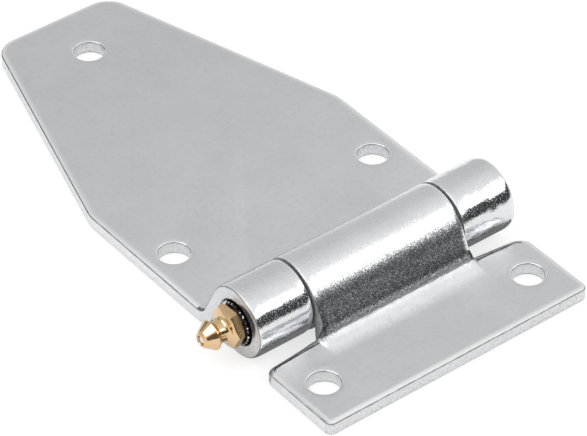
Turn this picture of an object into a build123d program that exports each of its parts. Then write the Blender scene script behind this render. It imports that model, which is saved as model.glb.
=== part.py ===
"""Bolt-on strap hinge: two leaves of bent sheet steel on a drilled pin with a grease nipple.

Millimetres, +Z up. The origin is midway between the short leaf's two bolt holes, on the
face that lies against what the hinge is bolted to. The pin runs along X, the nipple is at
its -X end, and the tapered strap points along +Y.
"""

import os
from math import acos, cos, degrees, radians, sin, sqrt, tan

from build123d import *

os.makedirs("parts", exist_ok=True)

# ---------------------------------------------------------------- sheet and knuckles
sheet = 3.0                  # thickness of both leaves
pin_diameter = 9.0
strap_fit = 0.02             # radial gap, pin to the strap's knuckles, which hold it
short_fit = 0.06             # radial running gap, pin to the short leaf's knuckle
barrel_lift = 0.35           # the barrel's underside above the mounting face
flank_angle = 64.0           # how steeply the sheet climbs from plate to knuckle, degrees
bend_radius = 3.0            # inside radius at the foot of that climb
seam_gap = 0.4               # between the curl's tip and the sheet that it closes on
centre_knuckle = 35.4        # length of the short leaf's knuckle
side_gap = 0.4               # between neighbouring knuckles
plate_gap = 1.45             # between the barrel and the flat edge beside a knuckle
root_radius = 1.2            # in the corner between that flat edge and the bent strip
bolt_hole = 6.4              # diameter, for M6
edge_round = 0.35            # rolled upper edges of the punched sheet

# ---------------------------------------------------------------- strap leaf, along Y from the pin's axis
strap_width = 61.0
strap_reach = 103.0
strap_end_width = 28.0
strap_corner_radius = 5.5
taper_start = 47.0
taper_corner_radius = 8.0
strap_pair_offset = 28.0
strap_side_margin = 6.25     # from the side edges to the pair of holes' centres
strap_end_margin = 13.0      # from the narrow end to the single hole's centre

# ---------------------------------------------------------------- short leaf, along -Y from the pin's axis
short_width = 62.0
short_reach = 28.5
short_hole_offset = 18.6
short_side_margin = 6.5      # from the side edges to the holes' centres
short_front_radius = 1.5
short_back_radius = 3.0

# ---------------------------------------------------------------- pin
pin_proud = 0.6              # past the strap at the nipple's end
pin_recess = 0.5             # short of the strap at the plain end
pin_chamfer = 0.6
knurl_length = 3.2
knurl_teeth = 24
knurl_depth = 0.4
grease_channel = 3.0         # diameter, along the pin
channel_past_middle = 4.0
cross_drilling = 2.5         # diameter, out to the short leaf's knuckle
drill_point = 59.0           # half angle of a drilled hole's end, degrees

# ---------------------------------------------------------------- grease nipple, heights from its seat on the pin
thread_diameter = 6.0
thread_length = 5.5
thread_fit = 0.02            # radial gap in the pin's tapped hole
tap_run_out = 1.5            # the tapped hole goes this much deeper
collar_diameter = 6.8
collar_height = 0.4
hex_across_flats = 7.5
hex_corner_length = 1.45
hex_turn = 3.0               # where one corner points, from +Y towards -Z, degrees
shoulder_diameter = 5.4      # where the hexagon's front cone meets the neck
shoulder_height = 2.9
neck_diameter = 4.7
neck_start = 3.4
neck_end = 4.4
head_diameter = 6.2
head_back = 5.2
head_land = 0.25
head_front = 6.9
head_front_diameter = 4.3
tip_height = 7.6
tip_diameter = 2.9
mouth_diameter = 1.9
mouth_depth = 0.5
ball_diameter = 2.5
ball_side_gap = 0.12
ball_seat_gap = 0.03
seat_angle = 37.0            # the ball seat's cone, from the axis
feed_diameter = 1.5
spring_floor = 1.0
spring_wire = 0.4
spring_side_gap = 0.1
spring_end_gap = 0.03
spring_turns = 4

# ---------------------------------------------------------------- derived sizes
pin_radius = pin_diameter / 2
strap_bore = pin_radius + strap_fit
short_bore = pin_radius + short_fit
barrel_radius = short_bore + sheet
pin_z = barrel_radius + barrel_lift
pin_y = short_hole_offset
plate_edge = barrel_radius + plate_gap
strap_gap = centre_knuckle + 2 * side_gap
nipple_seat_x = -(strap_width / 2 + pin_proud)
pin_plain_x = strap_width / 2 - pin_recess

# ---------------------------------------------------------------- planes
pin_line = Axis((0, pin_y, pin_z), (1, 0, 0))
strap_side = Plane(origin=(0, pin_y, pin_z), x_dir=(0, 1, 0), z_dir=(1, 0, 0))
short_side = Plane(origin=(0, pin_y, pin_z), x_dir=(0, -1, 0), z_dir=(-1, 0, 0))
strap_plan = Plane(origin=(0, pin_y, 0), x_dir=(1, 0, 0), z_dir=(0, 0, 1))
short_plan = Plane(origin=(0, pin_y, 0), x_dir=(-1, 0, 0), z_dir=(0, 0, 1))
nipple_half = Plane(origin=(nipple_seat_x, pin_y, pin_z), x_dir=(-1, 0, 0), z_dir=(0, 1, 0))
nipple_end = Plane(origin=(nipple_seat_x, pin_y, pin_z), x_dir=(0, 1, 0), z_dir=(-1, 0, 0))


def bend_foot(bore):
    """How far from the pin's axis a leaf's flat plate starts to climb."""
    angle = radians(flank_angle)
    flank_at_plate = (bore + sheet + (pin_z - sheet) * cos(angle)) / sin(angle)
    return flank_at_plate + bend_radius * tan(angle / 2)


def rolled_section(side, bore, reach):
    """A leaf seen from the side: flat plate, climb beside the pin, curl over it and down."""
    outer = bore + sheet
    plate_top = sheet - pin_z
    start = 90 - flank_angle
    curl = 360 - degrees(acos((bore - seam_gap) / outer))
    foot = (bend_foot(bore), plate_top + bend_radius)
    with BuildSketch(side) as section:
        with BuildLine():
            bend_above = CenterArc(foot, bend_radius, -90, -flank_angle)
            bend_below = CenterArc(foot, bend_radius + sheet, -90, -flank_angle)
            curl_outside = CenterArc((0, 0), outer, start, curl)
            curl_inside = CenterArc((0, 0), bore, start, curl)
            Polyline(bend_above @ 0, (reach, plate_top), (reach, -pin_z), bend_below @ 0)
            Line(bend_above @ 1, curl_outside @ 0)
            Line(bend_below @ 1, curl_inside @ 0)
            Line(curl_outside @ 1, curl_inside @ 1)
        make_face()
    return section.sketch


strap_bend_foot = bend_foot(strap_bore)
short_bend_foot = bend_foot(short_bore)

# ---------------------------------------------------------------- strap leaf
with BuildPart() as strap_leaf:
    extrude(rolled_section(strap_side, strap_bore, strap_reach), amount=strap_width / 2, both=True)
    with BuildSketch(strap_plan) as strap_outline:
        with BuildLine():
            Polyline(
                (-strap_width / 2, -2 * barrel_radius),
                (strap_width / 2, -2 * barrel_radius),
                (strap_width / 2, taper_start),
                (strap_end_width / 2, strap_reach),
                (-strap_end_width / 2, strap_reach),
                (-strap_width / 2, taper_start),
                close=True,
            )
        make_face()
        fillet(strap_outline.vertices().group_by(Axis.Y)[-1], radius=strap_corner_radius)
        fillet(strap_outline.vertices().group_by(Axis.Y)[1], radius=taper_corner_radius)
    extrude(amount=2 * pin_z, mode=Mode.INTERSECT)
    # The middle is cut away for the short leaf's knuckle, and stays flat behind it.
    with BuildSketch(strap_plan):
        Rectangle(strap_gap, 2 * strap_bend_foot)
    extrude(amount=2 * pin_z, mode=Mode.SUBTRACT)
    with BuildSketch(strap_plan):
        Rectangle(strap_gap, strap_bend_foot, align=(Align.CENTER, Align.MIN))
        RectangleRounded(strap_gap, 2 * plate_edge, root_radius, mode=Mode.SUBTRACT)
    extrude(amount=sheet)
    with BuildSketch(strap_plan):
        with Locations((0, strap_pair_offset)):
            with GridLocations(strap_width - 2 * strap_side_margin, 0, 2, 1):
                Circle(bolt_hole / 2)
        with Locations((0, strap_reach - strap_end_margin)):
            Circle(bolt_hole / 2)
    extrude(amount=sheet, mode=Mode.SUBTRACT)
    far_edge = strap_leaf.edges().filter_by(Axis.X).group_by(Axis.Y)[-1].sort_by(Axis.Z)[-1]
    fillet(far_edge, radius=edge_round)
strap_leaf.part.label = "strap_leaf"
export_step(strap_leaf.part, "parts/strap_leaf.step")

# ---------------------------------------------------------------- short leaf
with BuildPart() as short_leaf:
    extrude(rolled_section(short_side, short_bore, short_reach), amount=centre_knuckle / 2, both=True)
    with BuildSketch(short_plan) as short_outline:
        with Locations((0, plate_edge)):
            Rectangle(short_width, short_reach - plate_edge, align=(Align.CENTER, Align.MIN))
        fillet(short_outline.vertices().group_by(Axis.Y)[0], radius=short_back_radius)
        fillet(short_outline.vertices().group_by(Axis.Y)[-1], radius=short_front_radius)
        with Locations((0, plate_edge)):
            Rectangle(centre_knuckle + 2 * root_radius, root_radius, align=(Align.CENTER, Align.MAX))
        with Locations((0, plate_edge - root_radius)):
            with GridLocations(centre_knuckle + 2 * root_radius, 0, 2, 1):
                Circle(root_radius, mode=Mode.SUBTRACT)
        Rectangle(centre_knuckle, 2 * short_bend_foot, mode=Mode.SUBTRACT)
    extrude(amount=sheet)
    with BuildSketch(short_plan):
        with Locations((0, short_hole_offset)):
            with GridLocations(short_width - 2 * short_side_margin, 0, 2, 1):
                Circle(bolt_hole / 2)
    extrude(amount=sheet, mode=Mode.SUBTRACT)
    front_edge = short_leaf.edges().filter_by(Axis.X).group_by(Axis.Y)[0].sort_by(Axis.Z)[-1]
    fillet(front_edge, radius=edge_round)
short_leaf.part.label = "short_leaf"
export_step(short_leaf.part, "parts/short_leaf.step")

# ---------------------------------------------------------------- hinge pin
thread_bore = thread_diameter / 2 + thread_fit
tap_depth = thread_length + tap_run_out
pin_length = pin_plain_x - nipple_seat_x
channel_end = pin_length / 2 + channel_past_middle
channel_radius = grease_channel / 2
point_slope = 1 / tan(radians(drill_point))
with BuildPart() as hinge_pin:
    # Half of the lengthwise section, with heights running inwards from the nipple's seat.
    with BuildSketch(nipple_half):
        with BuildLine():
            Polyline(
                (0, thread_bore),
                (0, pin_radius - knurl_depth),
                (-knurl_depth, pin_radius),
                (pin_chamfer - pin_length, pin_radius),
                (-pin_length, pin_radius - pin_chamfer),
                (-pin_length, 0),
                (-channel_end - channel_radius * point_slope, 0),
                (-channel_end, channel_radius),
                (-tap_depth - (thread_bore - channel_radius) * point_slope, channel_radius),
                (-tap_depth, thread_bore),
                close=True,
            )
        make_face()
    revolve(axis=pin_line)
    # Straight knurl that bites in the strap's knuckle.
    with BuildSketch(nipple_end):
        with PolarLocations(pin_radius, knurl_teeth):
            RegularPolygon(knurl_depth, 4)
    extrude(amount=-knurl_length, mode=Mode.SUBTRACT)
    # Cross drilling that lets the grease out in the middle knuckle.
    with Locations((0, pin_y, pin_z)):
        Cylinder(cross_drilling / 2, 2 * pin_diameter, mode=Mode.SUBTRACT)
hinge_pin.part.label = "hinge_pin"
export_step(hinge_pin.part, "parts/hinge_pin.step")

# ---------------------------------------------------------------- nipple body
hex_corner_radius = hex_across_flats / sqrt(3)
ball_radius = ball_diameter / 2
mouth_radius = mouth_diameter / 2
chamber_radius = ball_radius + ball_side_gap
seat_slope = tan(radians(seat_angle))
lip_height = tip_height - mouth_depth
seat_start = lip_height - (chamber_radius - mouth_radius) / seat_slope
contact_radius = ball_radius * cos(radians(seat_angle))
contact_height = lip_height - (contact_radius - mouth_radius) / seat_slope
ball_height = contact_height - ball_radius * sin(radians(seat_angle)) - ball_seat_gap / sin(radians(seat_angle))
with BuildPart() as nipple_body:
    with BuildSketch(nipple_end.offset(collar_height)):
        RegularPolygon(hex_corner_radius, 6, rotation=hex_turn)
    extrude(amount=shoulder_height - collar_height)
    with BuildSketch(nipple_half):
        with BuildLine():
            Polyline(
                (0, 0),
                (0, hex_across_flats),
                (collar_height + hex_corner_length, hex_corner_radius),
                (shoulder_height, shoulder_diameter / 2),
                (shoulder_height, 0),
                close=True,
            )
        make_face()
    revolve(axis=pin_line, mode=Mode.INTERSECT)
    with BuildSketch(nipple_half):
        with BuildLine():
            Polyline(
                (-thread_length, 0),
                (-thread_length, thread_diameter / 2),
                (0, thread_diameter / 2),
                (0, collar_diameter / 2),
                (collar_height, collar_diameter / 2),
                (collar_height, shoulder_diameter / 2),
                (shoulder_height, shoulder_diameter / 2),
                (neck_start, neck_diameter / 2),
                (neck_end, neck_diameter / 2),
                (head_back, head_diameter / 2),
                (head_back + head_land, head_diameter / 2),
                (head_front, head_front_diameter / 2),
                (tip_height, tip_diameter / 2),
                (tip_height, 0),
                close=True,
            )
        make_face()
    revolve(axis=pin_line)
    with BuildSketch(nipple_half):
        with BuildLine():
            Polyline(
                (-thread_length, 0),
                (-thread_length, feed_diameter / 2),
                (spring_floor, feed_diameter / 2),
                (spring_floor, chamber_radius),
                (seat_start, chamber_radius),
                (lip_height, mouth_radius),
                (tip_height, mouth_radius),
                (tip_height, 0),
                close=True,
            )
        make_face()
    revolve(axis=pin_line, mode=Mode.SUBTRACT)
nipple_body.part.label = "nipple_body"
export_step(nipple_body.part, "parts/nipple_body.step")

# ---------------------------------------------------------------- check ball and its spring
with BuildPart(nipple_end.offset(ball_height)) as nipple_ball:
    Sphere(ball_radius)
nipple_ball.part.label = "nipple_ball"
export_step(nipple_ball.part, "parts/nipple_ball.step")

wire_radius = spring_wire / 2
coil_radius = chamber_radius - spring_side_gap - wire_radius
coil_start = spring_floor + spring_end_gap + wire_radius
coil_end = ball_height - sqrt((ball_radius + wire_radius + spring_end_gap) ** 2 - coil_radius ** 2)
with BuildPart() as nipple_spring:
    with BuildLine() as coil:
        Helix(
            (coil_end - coil_start) / spring_turns,
            coil_end - coil_start,
            coil_radius,
            center=(nipple_seat_x - coil_start, pin_y, pin_z),
            direction=(-1, 0, 0),
        )
    # An eight-sided section stands for the round wire.
    with BuildSketch(Plane(origin=coil.line @ 0, z_dir=coil.line % 0)):
        RegularPolygon(wire_radius, 8)
    sweep(path=coil.line, is_frenet=True)
nipple_spring.part.label = "nipple_spring"
export_step(nipple_spring.part, "parts/nipple_spring.step")
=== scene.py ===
"""Bolt-on strap hinge with a grease nipple: finishes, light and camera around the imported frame.

Metres, in the frame's own axes: X along the pin with the nipple at -X, +Y along the strap, +Z up.
The sheet leaves and the nipple are modelled in millimetres and scaled when they are done.
"""

import math
from collections import namedtuple

import bpy
from mathutils import Matrix, Vector


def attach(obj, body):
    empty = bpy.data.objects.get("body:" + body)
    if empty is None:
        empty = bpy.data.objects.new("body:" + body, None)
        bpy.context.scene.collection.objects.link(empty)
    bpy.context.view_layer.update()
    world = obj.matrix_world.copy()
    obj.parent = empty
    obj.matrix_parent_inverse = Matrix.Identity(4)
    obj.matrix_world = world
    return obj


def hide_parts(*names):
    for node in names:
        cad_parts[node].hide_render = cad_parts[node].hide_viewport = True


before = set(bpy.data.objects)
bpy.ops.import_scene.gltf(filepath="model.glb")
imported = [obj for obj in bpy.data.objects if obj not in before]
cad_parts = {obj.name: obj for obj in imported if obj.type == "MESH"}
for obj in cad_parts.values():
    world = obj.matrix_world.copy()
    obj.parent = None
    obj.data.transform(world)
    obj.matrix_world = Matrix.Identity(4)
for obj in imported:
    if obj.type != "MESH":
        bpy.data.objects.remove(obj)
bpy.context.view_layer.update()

MM = 0.001
PIN_Y = 18.6                          # the pin's axis in the frame, millimetres
PIN_Z = 7.91
PIN_MIDDLE = Vector((0.0, PIN_Y, PIN_Z)) * MM

# ---------------------------------------------------------------- camera
VIEW_TURN = math.radians(37.391)      # from +Y towards +X
VIEW_DROP = math.radians(39.637)      # below the horizon
VIEW_ROLL = math.radians(-0.645)
VIEW_DISTANCE = 697.076 * MM          # to the pin's middle, along the line of sight
PIN_RIGHT_OF_CENTRE = 13.512 * MM
PIN_BELOW_CENTRE = 7.144 * MM
LENS = 227.44
NEAREST = 0.05
FARTHEST = 20.0


def add_camera():
    turn = Matrix.Rotation(-VIEW_TURN, 4, "Z")
    tilt = Matrix.Rotation(math.pi / 2 - VIEW_DROP, 4, "X")
    roll = Matrix.Rotation(VIEW_ROLL, 4, "Z")
    aim = turn @ tilt @ roll
    right, up, back = (aim.to_3x3().col[i] for i in range(3))
    place = PIN_MIDDLE - right * PIN_RIGHT_OF_CENTRE + up * PIN_BELOW_CENTRE + back * VIEW_DISTANCE
    data = bpy.data.cameras.new("camera")
    data.lens = LENS
    data.clip_start = NEAREST
    data.clip_end = FARTHEST
    camera = bpy.data.objects.new("camera", data)
    camera.matrix_world = Matrix.Translation(place) @ aim
    bpy.context.scene.collection.objects.link(camera)
    bpy.context.scene.camera = camera


# ---------------------------------------------------------------- the nodes of a finish
Pattern = namedtuple("Pattern", "scale detail start end")     # noise, and where it turns from low to high
CLOUD_SCALE = 120.0
CLOUD_DETAIL = 4.0
CLOUD_START = 0.3
CLOUD_END = 0.7


class Finish:
    """One material and its nodes. An input may be a socket to read or a plain value."""

    def __init__(self, name):
        self.material = bpy.data.materials.new(name)
        self.material.use_nodes = True
        self.nodes = self.material.node_tree.nodes
        self.links = self.material.node_tree.links
        self.nodes.clear()

    def feed(self, socket, value):
        if isinstance(value, bpy.types.NodeSocket):
            self.links.new(value, socket)
        else:
            socket.default_value = value

    def surface(self, shader):
        out = self.nodes.new("ShaderNodeOutputMaterial")
        self.links.new(shader.outputs[0], out.inputs["Surface"])
        return self.material

    def mixed_shaders(self, share, first, second):
        mix = self.nodes.new("ShaderNodeMixShader")
        self.feed(mix.inputs[0], share)
        self.links.new(first.outputs[0], mix.inputs[1])
        self.links.new(second.outputs[0], mix.inputs[2])
        return mix

    def diffuse(self, colour):
        shader = self.nodes.new("ShaderNodeBsdfDiffuse")
        shader.inputs["Color"].default_value = colour + (1,)
        return shader

    def emission(self, strength):
        shader = self.nodes.new("ShaderNodeEmission")
        shader.inputs["Strength"].default_value = strength
        return shader

    def compute(self, operation, first, second):
        node = self.nodes.new("ShaderNodeMath")
        node.operation = operation
        self.feed(node.inputs[0], first)
        self.feed(node.inputs[1], second)
        return node.outputs[0]

    def times(self, first, second):
        return self.compute("MULTIPLY", first, second)

    def brighter(self, first, second):
        return self.compute("MAXIMUM", first, second)


class Metal(Finish):
    """A bare metal. Its patterns lie in the piece's own coordinates."""

    def __init__(self, name, seed):
        super().__init__(name)
        self.seed = seed
        self.where = self.nodes.new("ShaderNodeTexCoord").outputs["Object"]
        self.shader = self.nodes.new("ShaderNodeBsdfPrincipled")
        self.shader.inputs["Metallic"].default_value = 1.0

    def along(self, axis):
        split = self.nodes.new("ShaderNodeSeparateXYZ")
        self.links.new(self.where, split.inputs[0])
        return split.outputs[axis]

    def attribute(self, name):
        attribute = self.nodes.new("ShaderNodeAttribute")
        attribute.attribute_name = name
        return attribute.outputs["Fac"]

    def vector_math(self, operation, first, second=None):
        node = self.nodes.new("ShaderNodeVectorMath")
        node.operation = operation
        self.feed(node.inputs[0], first)
        if second is not None:
            self.feed(node.inputs[1], second)
        return node

    def step(self, value, start, end, low=0.0, high=1.0):
        """A smooth step of a value, from low at start to high at end."""
        step = self.nodes.new("ShaderNodeMapRange")
        step.interpolation_type = "SMOOTHSTEP"
        step.inputs["From Min"].default_value = start
        step.inputs["From Max"].default_value = end
        step.inputs["To Min"].default_value = low
        step.inputs["To Max"].default_value = high
        self.links.new(value, step.inputs["Value"])
        return step.outputs[0]

    def noise(self, scale, detail, seed=None, where=None):
        """Noise over the piece, or over another place. The finish has a seed of its own."""
        noise = self.nodes.new("ShaderNodeTexNoise")
        noise.noise_dimensions = "4D"
        noise.inputs["W"].default_value = self.seed if seed is None else seed
        noise.inputs["Scale"].default_value = scale
        noise.inputs["Detail"].default_value = detail
        self.links.new(self.where if where is None else where, noise.inputs["Vector"])
        return noise.outputs[0]

    def pattern(self, pattern, low=0.0, high=1.0):
        noise = self.noise(pattern.scale, pattern.detail)
        return self.step(noise, pattern.start, pattern.end, low, high)

    def clouds(self, low, high):
        clouds = self.nodes.new("ShaderNodeValToRGB")
        clouds.color_ramp.elements[0].position = CLOUD_START
        clouds.color_ramp.elements[1].position = CLOUD_END
        clouds.color_ramp.elements[0].color = low + (1,)
        clouds.color_ramp.elements[1].color = high + (1,)
        self.links.new(self.noise(CLOUD_SCALE, CLOUD_DETAIL), clouds.inputs[0])
        return clouds.outputs[0]

    def blended(self, blend, colour, share, level):
        """A colour turned into this grey, or multiplied by it, by this share of the way."""
        shade = self.nodes.new("ShaderNodeMix")
        shade.data_type = "RGBA"
        shade.blend_type = blend
        self.links.new(share, shade.inputs["Factor"])
        self.links.new(colour, shade.inputs[6])
        shade.inputs[7].default_value = (level, level, level, 1)
        return shade.outputs[2]

    def darkened(self, colour, share, level):
        return self.blended("MULTIPLY", colour, share, level)

    def bump(self, height, distance, under=None):
        bump = self.nodes.new("ShaderNodeBump")
        bump.inputs["Strength"].default_value = 1.0
        bump.inputs["Distance"].default_value = distance
        self.links.new(height, bump.inputs["Height"])
        if under:
            self.links.new(under, bump.inputs["Normal"])
        return bump.outputs[0]

    def crystals(self, scale, tilt, under):
        """Tilts the surface a little in each crystal of the plating."""
        cells = self.nodes.new("ShaderNodeTexVoronoi")
        cells.inputs["Scale"].default_value = scale
        self.links.new(self.where, cells.inputs["Vector"])
        centred = self.vector_math("SUBTRACT", cells.outputs["Color"], (0.5, 0.5, 0.5))
        lean = self.vector_math("SCALE", centred.outputs[0])
        self.feed(lean.inputs["Scale"], tilt)
        leaning = self.vector_math("ADD", under, lean.outputs[0])
        return self.vector_math("NORMALIZE", leaning.outputs[0]).outputs[0]

    def distance_from(self, y, z):
        """Distance from a line along X, in millimetres."""
        centred = self.vector_math("SUBTRACT", self.where, (0.0, y * MM, z * MM))
        across = self.vector_math("MULTIPLY", centred.outputs[0], (0.0, 1.0 / MM, 1.0 / MM))
        return self.vector_math("LENGTH", across.outputs[0]).outputs["Value"]

    def finished(self, colour, roughness, normal=None):
        self.feed(self.shader.inputs["Base Color"], colour)
        self.feed(self.shader.inputs["Roughness"], roughness)
        if normal:
            self.links.new(normal, self.shader.inputs["Normal"])


# ---------------------------------------------------------------- world, floor and lamps
BACK_WALL_LEVEL = 0.69        # what the plates see behind the hinge
FRONT_WALL_LEVEL = 1.06       # and in front of it
BACK_WALL_Y = 0.62            # where each level is reached, as the Y of a direction
FRONT_WALL_Y = -0.42
PAPER_SIZE = 6.0
PAPER_GREY = (0.90, 0.90, 0.90)       # as it lights the hinge
SEEN_GREY = (0.32, 0.32, 0.32)        # the part of it that the camera sees shaded
SEEN_GLOW = 0.70                      # and the part that is plain white
GLOW_IN_METAL = 0.02                  # how much of that sight the metal gets

# Each has its name, its place from the pin's middle in metres, its width, its height and its power.
SOFTBOXES = (
    ("front_softbox", (0.655, -0.885, 0.865), 1.6, 0.48, 5.3),
    ("left_softbox", (-0.80, 0.10, 1.14), 1.3, 0.6, 6.3),
)
# Dark cards, with how bright they are in place of a power.
FLAGS = (
    ("front_flag", (0.20, -0.60, 0.178), 2.4, 0.36, 0.04),
    ("back_flag", (-0.20, 1.00, 0.30), 0.36, 0.56, 0.28),
    ("left_flag", (-1.00, -0.02, 0.05), 0.34, 0.20, 0.04),
    ("corner_flag", (-0.577, -0.67, 0.30), 0.42, 0.60, 0.07),
)
# A painted shadow under the barrel: a dark strip on the paper, seen only in the metal.
UNDER_BARREL = Vector((0.0005, 0.0125, 0.0002))
SHADOW_STRIP_WIDTH = 0.068
SHADOW_STRIP_DEPTH = 0.0070
SHADOW_STRIP_LEVEL = 0.20


def add_world():
    """A plain room, a little darker behind the hinge than in front of it."""
    world = bpy.data.worlds.new("studio")
    bpy.context.scene.world = world
    world.use_nodes = True
    nodes, links = world.node_tree.nodes, world.node_tree.links
    nodes.clear()
    where = nodes.new("ShaderNodeTexCoord")
    split = nodes.new("ShaderNodeSeparateXYZ")
    links.new(where.outputs["Generated"], split.inputs[0])
    level = nodes.new("ShaderNodeMapRange")
    level.inputs["From Min"].default_value = BACK_WALL_Y
    level.inputs["From Max"].default_value = FRONT_WALL_Y
    level.inputs["To Min"].default_value = BACK_WALL_LEVEL
    level.inputs["To Max"].default_value = FRONT_WALL_LEVEL
    links.new(split.outputs["Y"], level.inputs["Value"])
    room = nodes.new("ShaderNodeBackground")
    room.inputs["Color"].default_value = (1, 1, 1, 1)
    links.new(level.outputs[0], room.inputs["Strength"])
    out = nodes.new("ShaderNodeOutputWorld")
    links.new(room.outputs[0], out.inputs["Surface"])


def floor_paper():
    """White paper. The camera sees it a little lifted, with the hinge's soft shadow."""
    finish = Finish("floor_paper")
    seen = finish.nodes.new("ShaderNodeAddShader")
    finish.links.new(finish.diffuse(SEEN_GREY).outputs[0], seen.inputs[0])
    finish.links.new(finish.emission(SEEN_GLOW).outputs[0], seen.inputs[1])
    path = finish.nodes.new("ShaderNodeLightPath").outputs
    direct = finish.brighter(path["Is Camera Ray"], finish.times(path["Is Glossy Ray"], GLOW_IN_METAL))
    any_sight = finish.brighter(direct, path["Is Transmission Ray"])
    return finish.surface(finish.mixed_shaders(any_sight, finish.diffuse(PAPER_GREY), seen))


def add_floor():
    bpy.ops.mesh.primitive_plane_add(size=PAPER_SIZE, location=(0, 0, 0))
    floor = bpy.context.object
    floor.name = "floor"
    floor.data.materials.append(floor_paper())


def facing_pin(centre, front):
    return (PIN_MIDDLE - centre).to_track_quat(front, "Y").to_euler()


def add_flag(name, centre, width, height, level):
    """A dark card that only shows as a dark band in the metal. It stands upright and faces the pin."""
    bpy.ops.mesh.primitive_plane_add(size=1.0)
    flag = bpy.context.object
    flag.name = name
    flag.scale = (width, height, 1.0)
    flag.rotation_euler = facing_pin(centre, "Z")
    flag.location = centre
    flag.visible_camera = False
    flag.visible_diffuse = False
    flag.visible_shadow = False
    finish = Finish(name + "_cloth")
    flag.data.materials.append(finish.surface(finish.emission(level)))
    return flag


def add_painted_shadow_strip():
    """A dark strip flat on the paper, seen only in the metal: a painted shadow that deepens the shade under
    the barrel.
    """
    flag = add_flag("painted_shadow_strip", UNDER_BARREL, SHADOW_STRIP_WIDTH, SHADOW_STRIP_DEPTH, SHADOW_STRIP_LEVEL)
    flag.rotation_euler = (0, 0, 0)


def add_softbox(name, centre, width, height, power):
    data = bpy.data.lights.new(name, "AREA")
    data.shape = "RECTANGLE"
    data.size, data.size_y = width, height
    data.energy = power
    lamp = bpy.data.objects.new(name, data)
    lamp.location = centre
    lamp.rotation_euler = facing_pin(centre, "-Z")
    bpy.context.scene.collection.objects.link(lamp)


def add_studio():
    add_camera()
    add_world()
    add_floor()
    for name, away, width, height, power in SOFTBOXES:
        add_softbox(name, PIN_MIDDLE + Vector(away), width, height, power)
    for name, away, width, height, level in FLAGS:
        add_flag(name, PIN_MIDDLE + Vector(away), width, height, level)
    add_painted_shadow_strip()


# ---------------------------------------------------------------- zinc plating
STRAP_PLATE = {
    "seed": 1.0,
    "left_waves": 0.00010,            # metres, how wavy the skin is at each end of the barrel
    "right_waves": 0.00030,
    "speck_scale": 4200.0,
    "speck_roughness": 0.26,
    "crystal_scale": 7000.0,
}
SHORT_PLATE = {
    "seed": 5.0,
    "left_waves": 0.00002,
    "right_waves": 0.00002,
    "speck_scale": 5000.0,
    "speck_roughness": 0.17,
    "crystal_scale": 4800.0,
}
ZINC_DARK = (0.690, 0.703, 0.720)
ZINC_LIGHT = (0.735, 0.745, 0.758)
GRIT = Pattern(2200.0, 3.0, 0.45, 0.70)
DUST = Pattern(1100.0, 3.0, 0.48, 0.72)
WEAR = Pattern(420.0, 2.0, 0.35, 0.60)
# mottles the painted reflection on the end face
REFLECTION_MOTTLE = Pattern(3000.0, 2.0, 0.30, 0.55)
DULL_FROM_Y = 0.030                   # the strap is a little darker towards its narrow end
DULL_TO_Y = 0.110
DULL_LEVEL = 0.94
DUST_LEVEL = 0.945
SHEARED_LEVEL = 0.80
RUB_AND_HIGHLIGHT_LEVEL = 0.97
# how dark the painted shade is on the arrises, creases and corners
ARRIS_SHADE_LEVEL = 0.06
LEAST_ARRIS_SHADE = 0.72                    # what is left of the painted shade on an arris where it is worn
REFLECTION_Y = PIN_Y - 2.52                # painted reflection of the nipple's dark hexagon on the rolled end beside the pin
REFLECTION_Z = PIN_Z + 1.97
REFLECTION_START = 3.2
REFLECTION_END = 3.7
REFLECTION_FROM_X = -0.0302                # it is only on the end face
REFLECTION_TO_X = -0.0300
REFLECTION_LEVEL = 0.13
LEAST_REFLECTION = 0.6
SPECK_DETAIL = 1.0
SPECK_START = 0.56
SPECK_END = 0.66
CURVED_FROM_Z = 0.0030                # above the plates, where the sheet is bent
CURVED_TO_Z = 0.0042
PRESSED_FROM_Z = 0.0058               # the pressed bend's grain fades out here
PRESSED_TO_Z = 0.0070
PRESSED_GRAIN = 0.00004               # metres: the skin of the pressed bend is a little rumpled
PEEL_SCALE = 2600.0
PEEL_DETAIL = 2.0
WAVES_FROM_X = -0.010
WAVES_TO_X = 0.018
WAVE_SCALE = 260.0
WAVE_DETAIL = 1.0
CRYSTAL_TILT = 0.42                   # how far the crystals lean, for each unit of roughness


# Painted reflection: darkens the end face where it mirrors the nipple's dark hexagon, broken up by mottling.
def painted_reflection(zinc):
    patch = zinc.step(zinc.distance_from(REFLECTION_Y, REFLECTION_Z), REFLECTION_START, REFLECTION_END, 1.0, 0.0)
    patch = zinc.times(patch, zinc.step(zinc.along("X"), REFLECTION_FROM_X, REFLECTION_TO_X, 1.0, 0.0))
    return zinc.times(patch, zinc.pattern(REFLECTION_MOTTLE, LEAST_REFLECTION, 1.0))


def zinc_colour(zinc):
    """Faint clouds, duller and dustier in places, with painted shade on the arrises, creases and corners,
    rubbed edges lightened further by a painted highlight, and a painted reflection on the end face.
    """
    colour = zinc.clouds(ZINC_DARK, ZINC_LIGHT)
    colour = zinc.darkened(colour, zinc.step(zinc.along("Y"), DULL_FROM_Y, DULL_TO_Y), DULL_LEVEL)
    colour = zinc.darkened(colour, zinc.pattern(DUST), DUST_LEVEL)
    colour = zinc.darkened(colour, zinc.times(zinc.attribute("sheared"), zinc.pattern(GRIT)), SHEARED_LEVEL)
    # rubbed edges, lightened further as a painted highlight
    colour = zinc.blended("MIX", colour, zinc.attribute("rub_and_highlight"), RUB_AND_HIGHLIGHT_LEVEL)
    # painted shade on the arrises, and in the creases and corners that each leaf marks
    arris = zinc.times(zinc.attribute("arris"), zinc.pattern(WEAR, LEAST_ARRIS_SHADE, 1.0))
    colour = zinc.darkened(colour, arris, ARRIS_SHADE_LEVEL)
    return zinc.darkened(colour, painted_reflection(zinc), REFLECTION_LEVEL)


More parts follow.
